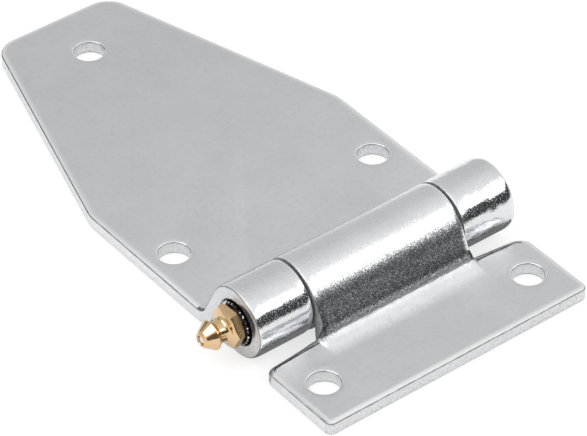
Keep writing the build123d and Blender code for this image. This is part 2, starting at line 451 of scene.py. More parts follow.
def zinc_skin(zinc, curved, left_waves, right_waves):
    """The bent sheet is wavy, and rumpled low down where it was pressed."""
    depth = zinc.step(zinc.along("X"), WAVES_FROM_X, WAVES_TO_X, left_waves, right_waves)
    depth = zinc.times(depth, curved)
    waves = zinc.bump(zinc.times(zinc.noise(WAVE_SCALE, WAVE_DETAIL), depth), 1.0)
    pressed = zinc.step(zinc.along("Z"), PRESSED_FROM_Z, PRESSED_TO_Z, PRESSED_GRAIN, 0.0)
    pressed = zinc.times(pressed, curved)
    return zinc.bump(zinc.times(zinc.noise(PEEL_SCALE, PEEL_DETAIL), pressed), 1.0, waves)


def zinc_plate(name, seed, left_waves, right_waves, speck_scale, speck_roughness, crystal_scale):
    """Bright zinc on bent sheet steel."""
    zinc = Metal(name, seed)
    curved = zinc.step(zinc.along("Z"), CURVED_FROM_Z, CURVED_TO_Z)
    drawn = zinc.attribute("drawn_roughness")
    specks = zinc.pattern(Pattern(speck_scale, SPECK_DETAIL, SPECK_START, SPECK_END), 0.0, speck_roughness)
    roughness = zinc.compute("ADD", drawn, zinc.times(specks, curved))
    skin = zinc_skin(zinc, curved, left_waves, right_waves)
    normal = zinc.crystals(crystal_scale, zinc.times(drawn, CRYSTAL_TILT), skin)
    zinc.finished(zinc_colour(zinc), roughness, normal)
    return zinc.surface(zinc.shader)


# ---------------------------------------------------------------- steel and brass
# near black at the pin's end: dark steel with painted shade
BLACK_AND_SHADE = (0.020, 0.020, 0.021, 1)
CREST_GREY = (0.72, 0.73, 0.74, 1)
CREST_FROM = 4.16                     # millimetres from the pin's axis
CREST_TO = 4.24
CHAMFER_FROM_X = -0.03086
CHAMFER_TO_X = -0.03074
# bright flecks on the knurl's crests: painted glints
GLINT_FLECKS = Pattern(1100.0, 1.0, 0.47, 0.55)
PLAIN_FROM_X = -0.0275                # the rest of the pin keeps its grey, without the black and painted shade
PLAIN_TO_X = -0.0270
BRIGHT_FROM_Y = 2.3                    # and one part of the knurl is left bright, counted from the axis
BRIGHT_TO_Y = 2.5
BRIGHT_TO_Z = 0.5
PIN_ROUGHNESS = 0.25
PIN_SEED = 3.0
GRAIN_SEED = 9.0
GRAIN_SCALE = 2500.0
GRAIN_DETAIL = 2.0
GRAIN_DEPTH = 0.00004
STEEL_SEED = 2.0
STEEL_DARK_SHARE = 0.94
BALL_GREY = (0.74, 0.74, 0.75)
BALL_ROUGHNESS = 0.1
SPRING_GREY = (0.60, 0.60, 0.61)
SPRING_ROUGHNESS = 0.25


def pin_steel(name):
    """Turned steel. Its end is dark steel deepened to near black as painted shade, and the knurl's crests
    show bright flecks as painted glints.
    """
    steel = Metal(name, PIN_SEED)
    ridge = steel.step(steel.distance_from(PIN_Y, PIN_Z), CREST_FROM, CREST_TO)
    chamfer = steel.step(steel.along("X"), CHAMFER_FROM_X, CHAMFER_TO_X, 1.0, 0.0)
    crest = steel.times(steel.times(ridge, chamfer), steel.pattern(GLINT_FLECKS))
    plain_end = steel.step(steel.along("X"), PLAIN_FROM_X, PLAIN_TO_X)
    behind = steel.step(steel.along("Y"), (PIN_Y + BRIGHT_FROM_Y) * MM, (PIN_Y + BRIGHT_TO_Y) * MM)
    above = steel.step(steel.along("Z"), PIN_Z * MM, (PIN_Z + BRIGHT_TO_Z) * MM)
    bright = steel.brighter(steel.brighter(crest, plain_end), steel.times(behind, above))
    mix = steel.nodes.new("ShaderNodeMix")
    mix.data_type = "RGBA"
    mix.inputs[6].default_value = BLACK_AND_SHADE
    mix.inputs[7].default_value = CREST_GREY
    steel.feed(mix.inputs["Factor"], bright)
    grain = steel.bump(steel.noise(GRAIN_SCALE, GRAIN_DETAIL, GRAIN_SEED), GRAIN_DEPTH)
    steel.finished(mix.outputs[2], PIN_ROUGHNESS, grain)
    return steel.surface(steel.shader)


def polished_steel(name, colour, roughness):
    steel = Metal(name, STEEL_SEED)
    low = tuple(c * STEEL_DARK_SHARE for c in colour)
    steel.finished(steel.clouds(low, colour), roughness)
    return steel.surface(steel.shader)


BRASS_DARK = (0.66, 0.475, 0.265)
BRASS_LIGHT = (0.72, 0.535, 0.335)
BRASS_FILM = (0.80, 0.42, 0.12)       # a brown film that keeps the dark reflections warm
BRASS_FILM_SHARE = 0.06
TARNISH_SEED = 4.0
TURNED_ROUGHNESS = 0.11
HEXAGON_ROUGHNESS = 0.24
HEXAGON_FADE = 0.0001
RING_SEED = 1.0
RING_SCALE = 6.0                      # lathe rings to a millimetre, more or less
RING_DETAIL = 3.0
RING_DEPTH = 0.000008
SCRATCH_SEED = 6.0
SCRATCH_SCALE = 5000.0
SCRATCH_DETAIL = 2.0
SCRATCH_DEPTH = 0.00003


def lathe_rings(brass):
    """The fine rings of a turned face: noise that only reads X and the distance from the axis."""
    rings = brass.nodes.new("ShaderNodeCombineXYZ")
    brass.links.new(brass.times(brass.along("X"), 1 / MM), rings.inputs["X"])
    brass.links.new(brass.distance_from(PIN_Y, PIN_Z), rings.inputs["Y"])
    return brass.bump(brass.noise(RING_SCALE, RING_DETAIL, RING_SEED, rings.outputs[0]), RING_DEPTH)


def turned_brass(name):
    """Bright brass with the rings that the lathe left. The hexagon is duller, as it was drawn."""
    brass = Metal(name, TARNISH_SEED)
    tarnish = brass.clouds(BRASS_DARK, BRASS_LIGHT)
    front = (NIPPLE_SEAT_X - HEX_SHOULDER) * MM
    on_hexagon = (brass.along("X"), front - HEXAGON_FADE, front + HEXAGON_FADE)
    roughness = brass.step(*on_hexagon, TURNED_ROUGHNESS, HEXAGON_ROUGHNESS)
    turned = lathe_rings(brass)
    scratches = brass.noise(SCRATCH_SCALE, SCRATCH_DETAIL, SCRATCH_SEED)
    scratched = brass.times(scratches, brass.step(*on_hexagon, 0.0, SCRATCH_DEPTH))
    brass.finished(tarnish, roughness, brass.bump(scratched, 1.0, turned))
    return brass.surface(brass.mixed_shaders(BRASS_FILM_SHARE, brass.shader, brass.diffuse(BRASS_FILM)))


def dress(node, material):
    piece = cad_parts[node]
    piece.data.materials.clear()
    piece.data.materials.append(material)


# ---------------------------------------------------------------- sheet leaves, millimetres
SHEET = 3.0
FLANK_TURN = math.radians(64.0)       # how steeply the strap climbs: both curls close on such a climb
SEAM_GAP = 0.4               # and stop this far from it
CUT_EDGE = 9.01              # flat edge beside the knuckles, from the pin's axis
ROOT_RADIUS = 1.2
EDGE_ROUND = 0.26            # at the arris of the punched sheet
EDGE_ROLL = 1.4              # how far in the punch has drawn the face down
EDGE_DROP = 0.17             # and by how much at the arris
EDGE_ROLL_STEPS = 6
HOLE_RADIUS = 3.2
HOLE_ROUND = 0.09            # at the arris of the holes
HOLE_STEPS = 64
HOLE_MARGIN = 1.6            # round a hole the face is left unrubbed
WEB = 1.3                    # how far the climb drags the flat sheet beside it
WEB_CUTS = 8
ARC_STEP = math.radians(4.0)
CORNER_STEP = math.radians(7.5)
MERGE_DISTANCE = 0.001
FLATTEN_ANGLE = math.radians(0.4)
EVEN_WEIGHT = 100

FLAT_ROUGHNESS = 0.30
FOOT_ROUGHNESS = 0.52
BEND_ROUGHNESS = 0.65        # pressed to and fro
BEND_END_ROUGHNESS = 0.24
FLANK_ROUGHNESS = 0.12
RIM_ROUGHNESS = 0.12
CUT_ROUGHNESS = 0.48         # the sheared faces of the sheet
BEND_FADE = 3.6              # how far the matt bend fades into the plate
BEND_FADE_CUTS = 4
FLANK_FADE = 1.2             # and into the climb
CURL_FADE = 1.0              # how soon the curl has its own finish

# how dark a painted shade line is
CREASE_SHADE = 0.97
HOLE_WALL_RUB_AND_HIGHLIGHT = 0.4          # how bright the wall of a hole is, from rubbing and a painted highlight
CUT_FROM = 0.9               # share of the arris's round at which the wall starts
ARRIS_FROM = 0.1             # and at which the arris does
RIM_FROM = 0.9               # share of the drop at which the smooth rim starts
RUB_AND_HIGHLIGHT_POWER = 0.7              # how the rubbing and painted highlight fade in from the face to the rim
BEND_RUB_AND_HIGHLIGHT_LOSS = 0.8          # and how much of it is missing past the foot of the climb
# the second mark is painted shade, the fourth is rubbing with a painted highlight
MARKS = ("drawn_roughness", "arris", "sheared", "rub_and_highlight")


def smooth(share):
    share = min(max(share, 0.0), 1.0)
    return share * share * (3 - 2 * share)


def select_only(piece):
    bpy.ops.object.select_all(action="DESELECT")
    bpy.context.view_layer.objects.active = piece
    piece.select_set(True)


def arc_round(corner, before, after, radius):
    """Points of the arc that rounds one corner of an outline."""
    into = (before - corner).normalized()
    out = (after - corner).normalized()
    half = into.angle(out) / 2
    start = corner + into * radius / math.tan(half)
    centre = corner + (into + out).normalized() * radius / math.sin(half)
    sweep = math.pi - 2 * half
    turn = sweep if into.cross(out) < 0 else -sweep
    steps = max(2, round(sweep / CORNER_STEP))
    return [centre + Matrix.Rotation(turn * i / steps, 2) @ (start - centre) for i in range(steps + 1)]


def rounded_outline(corners):
    """Points round a flat blank. A corner is its x, its y and its radius."""
    spots = [Vector((x, y)) for x, y, radius in corners]
    points = []
    for i, (x, y, radius) in enumerate(corners):
        if radius:
            points += arc_round(spots[i], spots[i - 1], spots[(i + 1) % len(spots)], radius)
        else:
            points.append(spots[i])
    return points


def hole_outline(x, y):
    return [Vector((x + HOLE_RADIUS * math.cos(a), y + HOLE_RADIUS * math.sin(a)))
            for a in (math.tau * i / HOLE_STEPS for i in range(HOLE_STEPS))]


def edge_profile(profile):
    """The blank's edge from the middle of its wall to the flat face, in shares of EDGE_ROLL."""
    arris_top = EDGE_ROLL - EDGE_DROP
    wall = [(EDGE_ROLL, arris_top - EDGE_ROUND)]
    arris = [(EDGE_ROLL - EDGE_ROUND * (1 - math.cos(a)), arris_top - EDGE_ROUND * (1 - math.sin(a)))
             for a in (math.pi / 4, math.pi / 2)]
    face = []
    for i in range(1, EDGE_ROLL_STEPS):
        left = 1 - i / EDGE_ROLL_STEPS
        face.append(((EDGE_ROLL - EDGE_ROUND) * left, EDGE_ROLL - EDGE_DROP * left ** 2))
    points = [(x / EDGE_ROLL, y / EDGE_ROLL) for x, y in wall + arris + face]
    for x, y in points:
        profile.points.add(x, y)
    for point in profile.points:
        point.handle_type_1 = "VECTOR"
        point.handle_type_2 = "VECTOR"
    profile.update()
    return len(points)


def draw_outline(data, points):
    """Adds a closed polyline to a curve. A point has three coordinates."""
    spline = data.splines.new("POLY")
    spline.points.add(len(points) - 1)
    for place, point in zip(spline.points, points):
        place.co = (*point, 1.0)
    spline.use_cyclic_u = True


def curve_to_mesh(name, data):
    """Makes a curve a mesh piece, and leaves it selected and active."""
    piece = bpy.data.objects.new(name, data)
    bpy.context.scene.collection.objects.link(piece)
    select_only(piece)
    bpy.ops.object.convert(target="MESH")
    return bpy.context.object


def flat_blank(name, outlines):
    """A punched blank: its lower face is at height 0."""
    data = bpy.data.curves.new(name, "CURVE")
    data.dimensions = "2D"
    data.fill_mode = "BOTH"
    data.extrude = SHEET / 2 - EDGE_ROLL
    data.bevel_mode = "PROFILE"
    data.bevel_depth = EDGE_ROLL
    data.bevel_resolution = edge_profile(data.bevel_profile)
    data.offset = -EDGE_ROLL
    for points in outlines:
        draw_outline(data, [(point.x, point.y, 0.0) for point in points])
    blank = curve_to_mesh(name, data)
    bpy.ops.object.mode_set(mode="EDIT")
    bpy.ops.mesh.select_all(action="SELECT")
    bpy.ops.mesh.remove_doubles(threshold=MERGE_DISTANCE)
    bpy.ops.mesh.normals_make_consistent(inside=False)
    bpy.ops.transform.translate(value=(0, 0, SHEET / 2))
    bpy.ops.object.mode_set(mode="OBJECT")
    return blank


class Roll:
    """How a strip of the blank climbs from the plate and curls round the pin.

    A place on it is (distance from the pin's axis, height above it). A shoulder is a wider
    arc between the straight climb and the curl.
    """

    def __init__(self, bore, bend_radius, flank_turn, shoulder_radius, shoulder_turn, roughnesses):
        self.outer = bore + SHEET
        self.bend_radius = bend_radius
        self.climb_end_roughness, self.shoulder_roughness, self.rolled_roughness = roughnesses
        self.shoulder_radius = shoulder_radius
        self.curl_angle = math.pi / 2 - flank_turn + shoulder_turn
        self.shoulder_centre = (self.outer - shoulder_radius) * self.direction(self.curl_angle)
        self.climb_angle = math.pi / 2 - flank_turn
        flank_offset = (self.outer - shoulder_radius) * math.cos(shoulder_turn) + shoulder_radius
        flank_at_plate = (flank_offset + (PIN_Z - SHEET) * math.cos(flank_turn)) / math.sin(flank_turn)
        self.foot = flank_at_plate + bend_radius * math.tan(flank_turn / 2)
        self.top = SHEET - PIN_Z
        self.bend_centre = Vector((self.foot, self.top + bend_radius))
        self.climb_start = self.bend_centre - bend_radius * self.direction(self.climb_angle)
        self.climb_end = self.shoulder_centre + shoulder_radius * self.direction(self.climb_angle)
        tip_angle = math.pi / 2 - FLANK_TURN + math.tau - math.acos((bore - SEAM_GAP) / self.outer)
        # where each stretch ends, as a run along the blank
        self.bend_end = self.foot - bend_radius * flank_turn
        self.climb_end_at = self.bend_end - (self.climb_end - self.climb_start).length
        self.curl_at = self.climb_end_at - shoulder_radius * shoulder_turn
        self.tip = self.curl_at - self.outer * (tip_angle - self.curl_angle)

    @staticmethod
    def direction(angle):
        return Vector((math.cos(angle), math.sin(angle)))

    def place(self, run, depth):
        """Where a point of the blank lands. Its run is its y on the blank."""
        if run >= self.foot:
            return Vector((run, self.top - depth))
        if run >= self.bend_end:
            turned = (self.foot - run) / self.bend_radius
            return self.bend_centre - (self.bend_radius + depth) * self.direction(math.pi / 2 - turned)
        if run >= self.climb_end_at:
            along = (self.climb_end - self.climb_start).normalized()
            return self.climb_start + along * (self.bend_end - run) + depth * Vector((-along.y, along.x))
        if run >= self.curl_at:
            angle = self.climb_angle + (self.climb_end_at - run) / self.shoulder_radius
            return self.shoulder_centre + (self.shoulder_radius - depth) * self.direction(angle)
        angle = self.curl_angle + (self.curl_at - run) / self.outer
        return (self.outer - depth) * self.direction(angle)

    def roughness(self, run):
        """The plate is satin, the pressed bend is matt, and the flank and the curl are smoother."""
        middle = (self.foot + self.bend_end) / 2
        stations = (
            (self.foot + BEND_FADE, FLAT_ROUGHNESS),
            (self.foot, FOOT_ROUGHNESS),
            (middle, BEND_ROUGHNESS),
            (self.bend_end, BEND_END_ROUGHNESS),
            (self.bend_end - FLANK_FADE, FLANK_ROUGHNESS),
            (self.climb_end_at, self.climb_end_roughness),
            (self.curl_at, self.shoulder_roughness),
            (self.curl_at - CURL_FADE, self.rolled_roughness),
        )
        if run >= stations[0][0]:
            return FLAT_ROUGHNESS
        for (start, rough), (end, next_rough) in zip(stations, stations[1:]):
            if run >= end and start > end:
                return rough + (next_rough - rough) * smooth((start - run) / (start - end))
        return self.rolled_roughness

    def cuts(self):
        """Runs at which the blank gets an edge, so that it can bend there."""
        stretches = (
            (self.foot, self.bend_end, self.bend_radius),
            (self.climb_end_at, self.curl_at, self.shoulder_radius),
            (self.curl_at, self.tip, self.outer),
        )
        places = []
        for start, end, radius in stretches:
            count = math.ceil((start - end) / radius / ARC_STEP)
            places += [start + (end - start) * i / count for i in range(count)]
        places += [self.foot + BEND_FADE * i / BEND_FADE_CUTS for i in range(1, BEND_FADE_CUTS + 1)]
        return places + [self.bend_end, self.bend_end - FLANK_FADE]


def cut_blank(blank, places, along):
    """Adds edges across the blank, at these places along X or Y."""
    bpy.ops.object.mode_set(mode="EDIT")
    for place in places:
        bpy.ops.mesh.select_all(action="SELECT")
        bpy.ops.mesh.bisect(plane_co=along * place, plane_no=along)
    bpy.ops.object.mode_set(mode="OBJECT")


def tighten_holes(blank, holes):
    """A drill leaves a smaller round than the punch does: draws the arris in towards the wall."""
    for vertex in blank.data.vertices:
        for hole in holes:
            out = Vector(vertex.co.xy) - Vector(hole)
            past = out.length - HOLE_RADIUS
            if 0.0 < past < EDGE_ROLL:
                if past < EDGE_ROUND:
                    kept = past * HOLE_ROUND / EDGE_ROUND
                else:
                    stretch = (EDGE_ROLL - HOLE_ROUND) / (EDGE_ROLL - EDGE_ROUND)
                    kept = EDGE_ROLL - (EDGE_ROLL - past) * stretch
                vertex.co.xy = Vector(hole) + out * ((HOLE_RADIUS + kept) / out.length)


class Leaf:
    """A leaf of the hinge. x and run are places on its blank, and it climbs to one side of the pin."""

    side = 1
    holes = ()
    mirrored = False

    def lifted(self, x):
        """1 on a strip that climbs, and less across the web beside it, down to 0 on flat sheet."""
        raise NotImplementedError

    def raised(self, x, run):
        """How far the flat sheet is lifted."""
        return 0.0

    def sag(self, x, run):
        """How much further than elsewhere the punch drew the upper edge down."""
        return 0.0

    def painted_shade(self, x, run, drop):
        """How much painted shade lies where the face has dropped by this share of EDGE_DROP."""
        return 0.0

    def cut_rub_and_highlight(self, x, run):
        """How bright the cut edge is, from rubbing and a painted highlight."""
        return 0.0

    def rub_and_highlight(self, x, run):
        """How brightly the upper edge has been rubbed and lit by a painted highlight. It is left dull round
        the holes.
        """
        nearest = min(math.hypot(x - a, run - b) for a, b in self.holes)
        return 0.0 if nearest < HOLE_RADIUS + HOLE_MARGIN else 1.0

    def bent(self, x, run, height):
        """Where a point of the blank ends up."""
        depth = SHEET - height
        if height > SHEET / 2:
            depth += self.sag(x, run) * min(1.0, depth / EDGE_DROP)
        share = self.lifted(x)
        flat = Vector((run, self.roll.top - depth))
        raised = Vector((0.0, self.raised(x, run) * (1.0 - share)))
        spot = flat.lerp(self.roll.place(run, depth), share) + raised
        return x, PIN_Y + self.side * spot.x, PIN_Z + spot.y

    def marks(self, x, run, height):
        """How rough a point is, how much painted shade lies on its arris, creases and corners, how sheared it
        is, and how much rubbing and painted highlight it has: the order of MARKS.
        """
        below = min(height, SHEET - height)
        if below > EDGE_DROP + EDGE_ROUND * CUT_FROM:
            rub_and_highlight_share = self.cut_rub_and_highlight(x, run) if self.rub_and_highlight(x, run) else HOLE_WALL_RUB_AND_HIGHLIGHT
            return CUT_ROUGHNESS, 0.0, 1.0, rub_and_highlight_share
        if below > EDGE_DROP + EDGE_ROUND * ARRIS_FROM:
            return CUT_ROUGHNESS, 1.0, 0.0, 0.0
        if below > EDGE_DROP * RIM_FROM:
            # a painted shade line on the rim takes the place of its rubbing
            rim_shade = self.painted_shade(x, run, 1.0)
            return RIM_ROUGHNESS, rim_shade, 0.0, 1.0 - rim_shade
        share = self.lifted(x)
        drop = below / EDGE_DROP
        rough = FLAT_ROUGHNESS + (self.roll.roughness(run) - FLAT_ROUGHNESS) * share
        flat_share = 1.0 - BEND_RUB_AND_HIGHLIGHT_LOSS * share if run < self.roll.foot else 1.0
        rub_and_highlight_share = min(1.0, drop ** RUB_AND_HIGHLIGHT_POWER * self.rub_and_highlight(x, run)) * flat_share
        return rough, self.painted_shade(x, run, drop), 0.0, rub_and_highlight_share

    def roll_blank(self, blank):
        """Bends the blank and marks its surface."""
        for name in MARKS:
            blank.data.attributes.new(name, "FLOAT", "POINT")
        layers = [blank.data.attributes[name].data for name in MARKS]
        for vertex, *values in zip(blank.data.vertices, *layers):
            x, run, height = vertex.co
            vertex.co = self.bent(x, run, height)
            for value, mark in zip(values, self.marks(x, run, height)):
                value.value = mark

    def corners(self):
        """The blank's outline, for rounded_outline."""
        raise NotImplementedError

    def side_cuts(self):
        """Places along X, on one side of the middle, at which the blank gets an edge."""
        raise NotImplementedError

    def run_cuts(self):
        """Runs at which the blank gets an edge, beside those of its roll."""
        return []

    def made(self, name):
        outlines = [rounded_outline(self.corners())]
        outlines += [hole_outline(x, y) for x, y in self.holes]
        blank = flat_blank(name, outlines)
        cut_blank(blank, self.roll.cuts(), Vector((0, 1, 0)))
        places = self.side_cuts()
        cut_blank(blank, places + [-x for x in places], Vector((1, 0, 0)))
        cut_blank(blank, self.run_cuts(), Vector((0, 1, 0)))
        tighten_holes(blank, self.holes)
        self.roll_blank(blank)
        finish_leaf(blank, self.mirrored)
        return blank


def even_shading(piece, keep_sharp):
    """Lets the large faces set the shading, so that flat ones look flat."""
    even = piece.modifiers.new("even_faces", "WEIGHTED_NORMAL")
    even.mode = "FACE_AREA"
    even.weight = EVEN_WEIGHT
    even.keep_sharp = keep_sharp
    bpy.ops.object.modifier_apply(modifier=even.name)


def finish_leaf(leaf, mirrored):
    select_only(leaf)
    bpy.ops.object.mode_set(mode="EDIT")
    bpy.ops.mesh.select_all(action="SELECT")
    bpy.ops.mesh.dissolve_limited(angle_limit=FLATTEN_ANGLE)
    if mirrored:
        bpy.ops.mesh.flip_normals()
    bpy.ops.object.mode_set(mode="OBJECT")
    leaf.data.transform(Matrix.Scale(MM, 4))
    bpy.ops.object.shade_smooth()
    even_shading(leaf, False)


# ---------------------------------------------------------------- strap leaf
STRAP_HALF = 30.5
STRAP_REACH = 103.0
STRAP_END_HALF = 14.0
STRAP_END_RADIUS = 5.5
TAPER_START = 47.0
TAPER_RADIUS = 8.0
STRAP_GAP_HALF = 18.1
STRAP_HOLES = ((-24.25, 28.0), (24.25, 28.0), (0.0, 90.0))
STRAP_BORE = 4.52
STRAP_BEND_RADIUS = 3.0               # of the upper face at the foot of the climb
STRAP_ROUGHNESSES = (0.12, 0.13, 0.13)      # the climb's end, the shoulder and the curl
STRAP_EDGE_RUB_AND_HIGHLIGHT = 0.4
STRAP_SHADE_INSET = 3                # from the gap: the painted shadow line lies further out than this
STRAP_SHADE_FROM = 3.5               # runs between which the painted shadow line lies
STRAP_SHADE_TO = 12.5
STRAP_SHADE_DROP = 0.4


class StrapLeaf(Leaf):
    """The tapered strap. Both its knuckles climb, on either side of a gap."""

    holes = STRAP_HOLES

    def __init__(self):
        self.roll = Roll(STRAP_BORE, STRAP_BEND_RADIUS, FLANK_TURN, STRAP_BORE + SHEET, 0.0,
                         STRAP_ROUGHNESSES)

    def corners(self):
        tip = self.roll.tip
        return (
            (STRAP_HALF, TAPER_START, TAPER_RADIUS),
            (STRAP_END_HALF, STRAP_REACH, STRAP_END_RADIUS),
            (-STRAP_END_HALF, STRAP_REACH, STRAP_END_RADIUS),
            (-STRAP_HALF, TAPER_START, TAPER_RADIUS),
            (-STRAP_HALF, tip, 0),
            (-STRAP_GAP_HALF, tip, 0),
            (-STRAP_GAP_HALF, CUT_EDGE, ROOT_RADIUS),
            (STRAP_GAP_HALF, CUT_EDGE, ROOT_RADIUS),
            (STRAP_GAP_HALF, tip, 0),
            (STRAP_HALF, tip, 0),
        )

    def side_cuts(self):
        return [STRAP_GAP_HALF - WEB * i / WEB_CUTS for i in range(WEB_CUTS + 1)]

    def lifted(self, x):
        return smooth((abs(x) - STRAP_GAP_HALF + WEB) / WEB)

    def painted_shade(self, x, run, drop):
        """A painted shadow line behind the outer edge where the sheet turns up."""
        beside = abs(x) > STRAP_GAP_HALF + STRAP_SHADE_INSET and STRAP_SHADE_FROM < run < STRAP_SHADE_TO
        return CREASE_SHADE if beside and drop > STRAP_SHADE_DROP else 0.0

    def cut_rub_and_highlight(self, x, run):
        return STRAP_EDGE_RUB_AND_HIGHLIGHT if run > CUT_EDGE else 0.0


# ---------------------------------------------------------------- short leaf
SHORT_HALF = 31.0
SHORT_REACH = 28.5
SHORT_FRONT_RADIUS = 1.5
SHORT_BACK_RADIUS = 3.0
SHORT_LEFT_BACK_RADIUS = 2.2
TONGUE_HALF = 17.7
SHORT_HOLES = ((-24.5, 18.6), (24.5, 18.6))
SHORT_BORE = 4.56
SHORT_BEND_RADIUS = 4.5
SHORT_FLANK_TURN = math.radians(63.0)
SHOULDER_RADIUS = 14.0
SHOULDER_TURN = math.radians(20.0)
SHORT_ROUGHNESSES = (0.18, 0.29, 0.25)
SHORT_EDGE_RUB_AND_HIGHLIGHT = 0.3
SIDE_WALL = 0.01                      # how near to the outer side the side wall is
EAR_LIFT = 0.8
EAR_LIFT_RUN = 5.5
EAR_LIFT_POWER = 1.3
EAR_CUTS = 7
LEFT_EAR_SAG = 0.55
RIGHT_EAR_SAG = 0.35
SAG_RUN = 2.5
SAG_INSIDE_SHARE = 0.35               # of the sag, at the inner end of each ear
SAG_GROWTH = 6.0
# where the painted shade line behind each ear's back edge lies
EAR_SHADE_RUN = 1.8
EAR_SHADE_FROM = 0.02                # shares of the drop
EAR_SHADE_TO = 0.2
ROOT_SHADE = 0.85                     # painted shade in the corner between each ear and the tongue
ROOT_INSIDE = 0.4
ROOT_OUTSIDE = 0.6 * WEB
ROOT_RUN = 0.9
# painted shade at the front left corner
FRONT_CORNER_SHADE = 0.22
FRONT_CORNER_INSET = 0.5
FRONT_CORNER_RUN = 2.0
FRONT_CORNER_DROP = 0.6
CORNER_RUB_AND_HIGHLIGHT = 2.0                      # the front left corner is rubbed, and given a painted highlight, this much more
CORNER_HIGHLIGHT_REACH = 7.0


class ShortLeaf(Leaf):
    """The cross leaf. Its middle climbs as a tongue, between two flat ears."""

    side = -1
    mirrored = True
    holes = SHORT_HOLES

    def __init__(self):
        self.roll = Roll(SHORT_BORE, SHORT_BEND_RADIUS, SHORT_FLANK_TURN, SHOULDER_RADIUS, SHOULDER_TURN,
                         SHORT_ROUGHNESSES)

    def corners(self):
        tip = self.roll.tip
        return (
            (SHORT_HALF, SHORT_REACH, SHORT_FRONT_RADIUS),
            (-SHORT_HALF, SHORT_REACH, SHORT_FRONT_RADIUS),
            (-SHORT_HALF, CUT_EDGE, SHORT_LEFT_BACK_RADIUS),
            (-TONGUE_HALF, CUT_EDGE, ROOT_RADIUS),
            (-TONGUE_HALF, tip, 0),
            (TONGUE_HALF, tip, 0),
            (TONGUE_HALF, CUT_EDGE, ROOT_RADIUS),
            (SHORT_HALF, CUT_EDGE, SHORT_BACK_RADIUS),
        )

    def side_cuts(self):
        places = [TONGUE_HALF + WEB * i / WEB_CUTS for i in range(WEB_CUTS + 1)]
        inner = places[-1]
        ear = SHORT_HALF - EDGE_ROLL - inner
        return places + [inner + ear * i / EAR_CUTS for i in range(1, EAR_CUTS + 1)]

    def run_cuts(self):
        length = EAR_LIFT_RUN - EDGE_ROLL
        return [CUT_EDGE + EDGE_ROLL + length * i / EAR_CUTS for i in range(EAR_CUTS + 1)]

    def lifted(self, x):
        return smooth((TONGUE_HALF + WEB - abs(x)) / WEB)

    def raised(self, x, run):
        """The climbing tongue drags the inner back corner of each ear up with it."""
        out = min(1.0, (abs(x) - TONGUE_HALF) / (SHORT_HALF - TONGUE_HALF))
        if out <= 0:
            return 0.0
        behind = smooth((CUT_EDGE + EAR_LIFT_RUN - run) / EAR_LIFT_RUN)
        return EAR_LIFT * (1.0 - out) ** EAR_LIFT_POWER * behind

    def sag(self, x, run):
        """The ears' back edges are drawn down further, most of all at their outer corners."""
        behind = smooth((CUT_EDGE + SAG_RUN - run) / SAG_RUN)
        out = smooth((abs(x) - TONGUE_HALF - WEB) / (SHORT_HALF - TONGUE_HALF - WEB))
        most = LEFT_EAR_SAG if x < 0 else RIGHT_EAR_SAG
        along = SAG_INSIDE_SHARE + (1 - SAG_INSIDE_SHARE) * out
        return most * behind * along * min(out * SAG_GROWTH, 1.0)

    def painted_shade(self, x, run, drop):
        """Painted shade: a second dark line behind each ear's back edge, and darker corners at both roots and
        at the front left.
        """
        if TONGUE_HALF - ROOT_INSIDE < abs(x) < TONGUE_HALF + ROOT_OUTSIDE and abs(run - CUT_EDGE) < ROOT_RUN:
            return ROOT_SHADE
        at_corner = x < FRONT_CORNER_INSET - SHORT_HALF and run > SHORT_REACH - FRONT_CORNER_RUN
        if at_corner and drop > FRONT_CORNER_DROP:
            return FRONT_CORNER_SHADE
        if run > CUT_EDGE + EAR_SHADE_RUN or abs(x) < TONGUE_HALF + WEB:
            return 0.0
        return CREASE_SHADE if EAR_SHADE_FROM <= drop <= EAR_SHADE_TO else 0.0

    def rub_and_highlight(self, x, run):
        """Most brightly at the front left corner, where the painted highlight is strongest."""
        away = math.hypot(x + SHORT_HALF, run - SHORT_REACH)
        return super().rub_and_highlight(x, run) * (1.0 + CORNER_RUB_AND_HIGHLIGHT * smooth(1.0 - away / CORNER_HIGHLIGHT_REACH))

    def cut_rub_and_highlight(self, x, run):
        return SHORT_EDGE_RUB_AND_HIGHLIGHT if abs(x) > SHORT_HALF - SIDE_WALL else 0.0


# ---------------------------------------------------------------- grease nipple, heights from its seat
NIPPLE_SEAT_X = -31.1
NIPPLE_STEPS = 96
MERGE_NIPPLE = 0.0005
OVERSHOOT = 1.0               # how far a tool starts or ends clear of the brass
THREAD_LENGTH = 5.5
THREAD_PITCH = 1.0
THREAD_RADIUS = 3.0
THREAD_ROOT = 2.45
THREAD_FLAT = 0.15            # half the flat between two ridges
THREAD_RELIEF = 0.4
COLLAR_RADIUS = 3.4
COLLAR_HEIGHT = 0.4
COLLAR_TO_BODY = 2.5          # radius that the collar's face steps down to, inside the hexagon
HEX_CORNER = 4.33
HEX_TURN = math.radians(3.0)  # where one corner points, from +Y towards -Z
HEX_SHOULDER = 1.75           # where its corners start to taper
HEX_SOFTENING = 0.07
HEX_SOFTENING_ANGLE = math.radians(25)
HEX_BACK_START = 0.25         # heights from the collar's face where its back corners are turned away
HEX_BACK_NEAR = 0.05
HEX_BACK_FAR = 0.2
HEX_BACK_INSET = 0.28
SHOULDER_HEIGHT = 2.35
SHOULDER_RADIUS_AT_NECK = 3.0
SHOULDER_BODY_BACK = 0.4      # the turned body stays a little inside the hexagon's shoulder
SHOULDER_BODY_INSET = 0.1
NECK_START = 2.69
NECK_END = 4.3
NECK_RADIUS = 2.25
NECK_BLEND = 1.15
HEAD_BLEND = 0.45
HEAD_RADIUS = 2.98
HEAD_RIM_START = 5.1
HEAD_RIM_END = 5.25
HEAD_RIM_ROUND = 0.05
CONE_END = 7.12
CONE_END_RADIUS = 1.75
CONE_END_ROUND = 0.2
TIP = 7.6
TIP_RADIUS = 1.28
TIP_ROUND = 0.12
